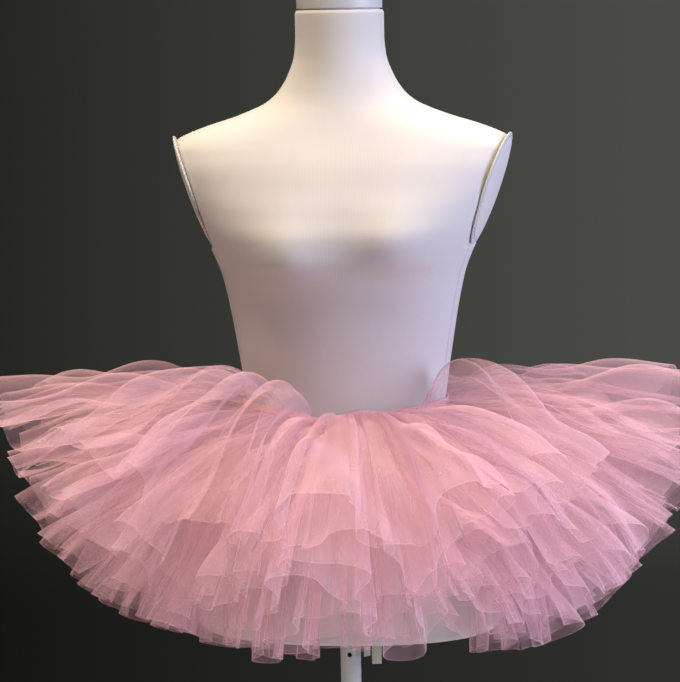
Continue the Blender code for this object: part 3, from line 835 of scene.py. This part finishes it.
def soft_net(name, net, glow, cover):
    """Soft polyester tulle, warp knitted: hexagonal net with 1.2 mm holes, too fine to show singly, so it is
    drawn as an even veil. Its threads let through all but a small share of light straight on and less and
    less towards grazing angles, so that folds seen along the cloth draw bright lines. Gathering packs the
    net into streaks from waist to rim, 11 mm wide on the flat strip, and the raw edge is a shade denser."""
    made, tree = blank_material(name)
    cut = add(tree, "ShaderNodeUVMap", {"uv_map": "cut"}).outputs["UV"]
    stretch = add(tree, "ShaderNodeMapping", {}, {"Scale": (90.0, 4.0, 1.0)}, {"Vector": cut})
    fine = {"Scale": 1.0, "Detail": 2.0}
    streak = add(tree, "ShaderNodeTexNoise", {}, fine, {"Vector": stretch.outputs[0]})
    split = add(tree, "ShaderNodeSeparateXYZ", {}, {}, {"Vector": cut})
    edge = add(
        tree,
        "ShaderNodeMapRange",
        SMOOTH,
        {"From Min": 0.0024, "From Max": 0.0004, "To Min": 0.0, "To Max": 0.10},
        {"Value": split.outputs["Y"]},
    )
    veil = add(
        tree,
        "ShaderNodeMapRange",
        {},
        {"From Min": 0.3, "From Max": 0.7, "To Min": cover * 0.90, "To Max": cover * 1.10},
        {"Value": streak.outputs["Fac"]},
    )
    parts = {0: veil.outputs[0], 1: edge.outputs[0]}
    stopped = add(tree, "ShaderNodeMath", {"operation": "ADD", "use_clamp": True}, {}, parts)
    holes = add(tree, "ShaderNodeMath", {"operation": "SUBTRACT"}, {0: 1.0}, {1: stopped.outputs[0]})
    facing = add(tree, "ShaderNodeLayerWeight", {}, {"Blend": 0.5}).outputs["Facing"]
    straight = add(tree, "ShaderNodeMapRange", {}, {"To Min": 1.0, "To Max": 0.24}, {"Value": facing})
    depth = add(tree, "ShaderNodeMath", {"operation": "DIVIDE"}, {0: 1.0}, {1: straight.outputs[0]})
    layers = {0: holes.outputs[0], 1: depth.outputs[0]}
    through = add(tree, "ShaderNodeMath", {"operation": "POWER"}, {}, layers)
    mesh = add(tree, "ShaderNodeTexNoise", {}, {"Scale": 700.0, "Detail": 0.0}, {"Vector": cut})
    relief = {"Strength": 1.0, "Distance": 0.0016}
    bump = add(tree, "ShaderNodeBump", {}, relief, {"Height": mesh.outputs["Fac"]})
    round_threads = bump.outputs["Normal"]
    colour = np.array(linear(net))
    tint = add(tree, "ShaderNodeValToRGB", {}, {}, {"Fac": streak.outputs["Fac"]})
    tint.color_ramp.elements[0].position, tint.color_ramp.elements[1].position = 0.3, 0.7
    tint.color_ramp.elements[0].color = (*(colour[:3] * (0.98, 0.93, 0.94)), 1)
    tint.color_ramp.elements[1].color = (*colour[:3], 1)
    threads = add(
        tree,
        "ShaderNodeBsdfPrincipled",
        {},
        {"Roughness": 0.65, "Specular IOR Level": 0.2},
        {"Base Color": tint.outputs["Color"], "Normal": round_threads},
    )
    lit = add(tree, "ShaderNodeBsdfTranslucent", {}, {"Color": linear(glow)}, {"Normal": round_threads})
    lit_threads = {1: threads.outputs[0], 2: lit.outputs[0]}
    cloth = add(tree, "ShaderNodeMixShader", {}, {"Fac": 0.45}, lit_threads)
    clear = add(tree, "ShaderNodeBsdfTransparent", {}, {"Color": (1, 1, 1, 1)})
    cloth_or_hole = {"Fac": through.outputs[0], 1: cloth.outputs[0], 2: clear.outputs[0]}
    both = add(tree, "ShaderNodeMixShader", {}, {}, cloth_or_hole)
    add(tree, "ShaderNodeOutputMaterial", {}, {}, {"Surface": both.outputs[0]})
    return made


class TUTU_OT_tulle_tiers(bpy.types.Operator):
    """The seven gathered tiers of net."""

    bl_idname = "tutu.tulle_tiers"
    bl_label = "Tulle tiers"

    def execute(self, context):
        tulle = context.scene.tulle_settings
        net = soft_net("polyester tulle, knitted", tulle.net, tulle.glow, tulle.cover)
        columns, rows = 960, 48
        for number, row in enumerate(TIERS, start=1):
            grid = tier_grid(number, row, tulle, columns, rows)
            across = np.linspace(0, FLAT_WIDTH, columns + 1)
            up = row[0] * (1 - np.linspace(0, 1, rows + 1))
            uv = np.stack(np.meshgrid(across, up, indexing="xy"), axis=-1)
            tier = surface(f"tulle_{number}", grid, net, uv=uv)
            place(tier, "pink_tulle", f"tulle_tier_{number}")
        return {"FINISHED"}


def elastic_casing(name, code):
    """Polyester casing over woven elastic: matt, drawn into short upright puckers 3 mm apart, their low parts
    darkened with painted shade.
    """
    made, tree = blank_material(name)
    cut = add(tree, "ShaderNodeUVMap", {"uv_map": "cut"}).outputs["UV"]
    stretch = add(tree, "ShaderNodeMapping", {}, {"Scale": (330.0, 25.0, 1.0)}, {"Vector": cut})
    fine = {"Scale": 1.0, "Detail": 2.0}
    pucker = add(tree, "ShaderNodeTexNoise", {}, fine, {"Vector": stretch.outputs[0]})
    base = np.array(linear(code))
    # painted shade: the low parts of the puckers, where the bump sinks, are darkened to 0.75
    tone = add(tree, "ShaderNodeValToRGB", {}, {}, {"Fac": pucker.outputs["Fac"]})
    tone.color_ramp.elements[0].color = (*(base[:3] * 0.75), 1)
    tone.color_ramp.elements[1].color = (*base[:3], 1)
    relief = {"Strength": 0.6, "Distance": 0.001}
    bump = add(tree, "ShaderNodeBump", {}, relief, {"Height": pucker.outputs["Fac"]})
    shader = add(
        tree,
        "ShaderNodeBsdfPrincipled",
        {},
        {"Roughness": 0.75, "Sheen Weight": 0.2, "Specular IOR Level": 0.25},
        {"Base Color": tone.outputs["Color"], "Normal": bump.outputs["Normal"]},
    )
    add(tree, "ShaderNodeOutputMaterial", {}, {}, {"Surface": shader.outputs[0]})
    return made


class TUTU_OT_waistband(bpy.types.Operator):
    """The gathered elastic band that the tiers are sewn to."""

    bl_idname = "tutu.waistband"
    bl_label = "Waistband"

    def execute(self, context):
        cloth = elastic_casing("polyester casing, gathered", context.scene.tulle_settings.elastic)
        columns = 480
        angle = around(columns)[None]
        pucker = PUCKER * np.sin(180 * angle + 1.5 * drift(angle, 10, 40, 7))
        low, high = WAIST_H - BAND["down"], WAIST_H + BAND["up"]
        lift = waist_rise(angle)
        thick = BAND["thick"]
        # out from the middle of the wall as a share of half its thickness, and up as a share of the height
        outside = [(1.0, 0.02), (1.0, 0.3), (1.0, 0.7), (1.0, 0.98)]
        top = [(0.6, 1.0), (-0.6, 1.0)]
        inside = [(-1.0, 0.98), (-1.0, 0.5), (-1.0, 0.02)]
        foot = [(-0.6, 0.0), (0.6, 0.0)]
        ring = np.array([*outside, *top, *inside, *foot, outside[0]])
        h = low + (high - low) * ring[:, 1:] + lift
        grow = BAND["gap"] + thick / 2 + ring[:, :1] * (thick / 2 - PUCKER) + pucker
        x, y = section(h, angle, grow)
        grid = np.stack([x, y, FORM_BOTTOM + h], axis=-1)
        across = np.linspace(0, CASING_CUT[0], columns + 1)
        up = np.linspace(0, CASING_CUT[1], len(ring))
        uv = np.stack(np.meshgrid(across, up, indexing="xy"), axis=-1)
        band = surface("waistband_casing", grid, cloth, uv=uv)
        place(band, "pink_elastic", "waistband")
        return {"FINISHED"}


# ---------------------------------------------------------------- stage
CAMERA = {
    "azimuth": 6.0,  # degrees round from the front
    "distance": 2.8,
    "height": 1.427,
    "down": 7.731,  # degrees below level
    "roll": -1.04,
    "pan": 0.127,
    "lens": 124.0,  # millimetres, as is the sensor
    "sensor": 36.0,
}
FLOOR_RADIUS, FLOOR_HOLE = 2.1, 0.05
FLOOR_LOW, FLOOR_TOP = -0.004, -0.0005
# name, place, what it points at, size in metres, watts and colour
LIGHTS = (
    ("ceiling", (-0.18, -0.40, 3.8), (0, 0, 1.1), 1.7, 142, "FFECD4"),
    ("window", (2.4, -0.9, 1.6), (0, 0, 0.95), 1.3, 78, "D2DAFF"),
    ("fill", (-2.2, -2.4, 1.5), (0, 0, 1.0), 1.8, 23, "FFEDE4"),
)


def soft_light(name, place_at, aim, size, watts, code):
    """A square area light that points from one place at another."""
    data = bpy.data.lights.new(name, "AREA")
    data.shape, data.size, data.energy, data.color = "SQUARE", size, watts, linear(code)[:3]
    lamp = bpy.data.objects.new(name, data)
    lamp.location = place_at
    way = np.array(aim, float) - np.array(place_at, float)
    flat = math.hypot(way[0], way[1])
    lamp.rotation_euler = (math.atan2(flat, -way[2]), 0, math.atan2(way[1], way[0]) - math.pi / 2)
    bpy.context.scene.collection.objects.link(lamp)


def dark_wall(name, left, right):
    """A dark wall all round, lighter to the right than to the left and darker low down."""
    made = bpy.data.worlds.new(name)
    made.use_nodes = True
    tree = made.node_tree
    way = add(tree, "ShaderNodeTexCoord").outputs["Generated"]
    split = add(tree, "ShaderNodeSeparateXYZ", {}, {}, {"Vector": way})
    across = add(tree, "ShaderNodeValToRGB")
    across.color_ramp.elements[0].color, across.color_ramp.elements[1].color = linear(left), linear(right)
    share = add(
        tree, "ShaderNodeMapRange", {}, {"From Min": -0.25, "From Max": 0.03}, {"Value": split.outputs["X"]}
    )
    tree.links.new(share.outputs[0], across.inputs["Fac"])
    level = add(
        tree,
        "ShaderNodeMapRange",
        SMOOTH,
        {"From Min": -0.25, "From Max": -0.14, "To Min": 0.40, "To Max": 1.0},
        {"Value": split.outputs["Z"]},
    )
    light = tree.nodes["Background"].inputs
    tree.links.new(across.outputs["Color"], light["Color"])
    tree.links.new(level.outputs[0], light["Strength"])
    return made


def plain_finish(name, code, roughness):
    """A plain matt paint for the stage."""
    made, tree = blank_material(name)
    shader = add(tree, "ShaderNodeBsdfPrincipled", {}, {"Base Color": linear(code), "Roughness": roughness})
    add(tree, "ShaderNodeOutputMaterial", {}, {}, {"Surface": shader.outputs[0]})
    return made


class TUTU_OT_stage(bpy.types.Operator):
    """Floor, soft lights, background and camera."""

    bl_idname = "tutu.stage"
    bl_label = "Stage"

    def execute(self, context):
        scene = context.scene
        under = [(FLOOR_HOLE, FLOOR_LOW), (FLOOR_RADIUS, FLOOR_LOW)]
        profile = [*under, (FLOOR_RADIUS, FLOOR_TOP), (FLOOR_HOLE, FLOOR_TOP)]
        grid = turned_grid(profile, 96)
        paint = plain_finish("floor paint, rolled", "D6D5D2", 0.9)
        floor = surface("floor", grid, paint, ends=(True, True))
        scene.world = dark_wall("studio", "252522", "4B4C48")
        for light in LIGHTS:
            soft_light(*light)
        data = bpy.data.cameras.new("camera")
        data.lens, data.sensor_width = CAMERA["lens"], CAMERA["sensor"]
        camera = bpy.data.objects.new("camera", data)
        turn = math.radians(CAMERA["azimuth"])
        distance = CAMERA["distance"]
        camera.location = (distance * math.sin(turn), -distance * math.cos(turn), CAMERA["height"])
        # the camera looks along -Z: it is rolled about that, raised from the ground's plane, then turned
        spin = Matrix.Rotation(math.radians(CAMERA["azimuth"] + CAMERA["pan"]), 3, "Z")
        tip = Matrix.Rotation(math.radians(90.0 - CAMERA["down"]), 3, "X")
        roll = Matrix.Rotation(math.radians(CAMERA["roll"]), 3, "Z")
        camera.rotation_euler = (spin @ tip @ roll).to_euler()
        scene.collection.objects.link(camera)
        scene.camera = camera
        scene.cycles.use_light_tree = False
        scene.cycles.transparent_max_bounces = 16
        scene.cycles.max_bounces = 6
        scene.cycles.diffuse_bounces = 3
        scene.cycles.transmission_bounces = 4
        scene.view_settings.view_transform = "Standard"
        return {"FINISHED"}


# ---------------------------------------------------------------- panel and start
STEPS = (
    TUTU_OT_stage,
    TUTU_OT_stand,
    TUTU_OT_torso,
    TUTU_OT_armholes,
    TUTU_OT_neck_block,
    TUTU_OT_cover_ties,
    TUTU_OT_waistband,
    TUTU_OT_tulle_tiers,
)


class TUTU_PT_sidebar(bpy.types.Panel):
    """Sizes, colours and a button for each group of pieces."""

    bl_idname = "TUTU_PT_sidebar"
    bl_label = "Tutu on a dress form"
    bl_space_type = "VIEW_3D"
    bl_region_type = "UI"
    bl_category = "Tutu"

    def draw(self, context):
        for settings in (context.scene.form_settings, context.scene.tulle_settings):
            box = self.layout.box()
            for name in settings.__annotations__:
                box.prop(settings, name)
        for step in STEPS:
            self.layout.operator(step.bl_idname)


CLASSES = (FormSettings, TulleSettings, *STEPS, TUTU_PT_sidebar)


def register():
    """Registers every class and hangs the settings on the scene."""
    for kind in CLASSES:
        bpy.utils.register_class(kind)
    bpy.types.Scene.form_settings = bpy.props.PointerProperty(type=FormSettings)
    bpy.types.Scene.tulle_settings = bpy.props.PointerProperty(type=TulleSettings)


def unregister():
    """Takes the settings and the classes away again."""
    del bpy.types.Scene.tulle_settings
    del bpy.types.Scene.form_settings
    for kind in reversed(CLASSES):
        bpy.utils.unregister_class(kind)


def main():
    """Builds every piece in order."""
    register()
    for step in STEPS:
        group, name = step.bl_idname.split(".")
        getattr(getattr(bpy.ops, group), name)()


if __name__ == "__main__":
    main()
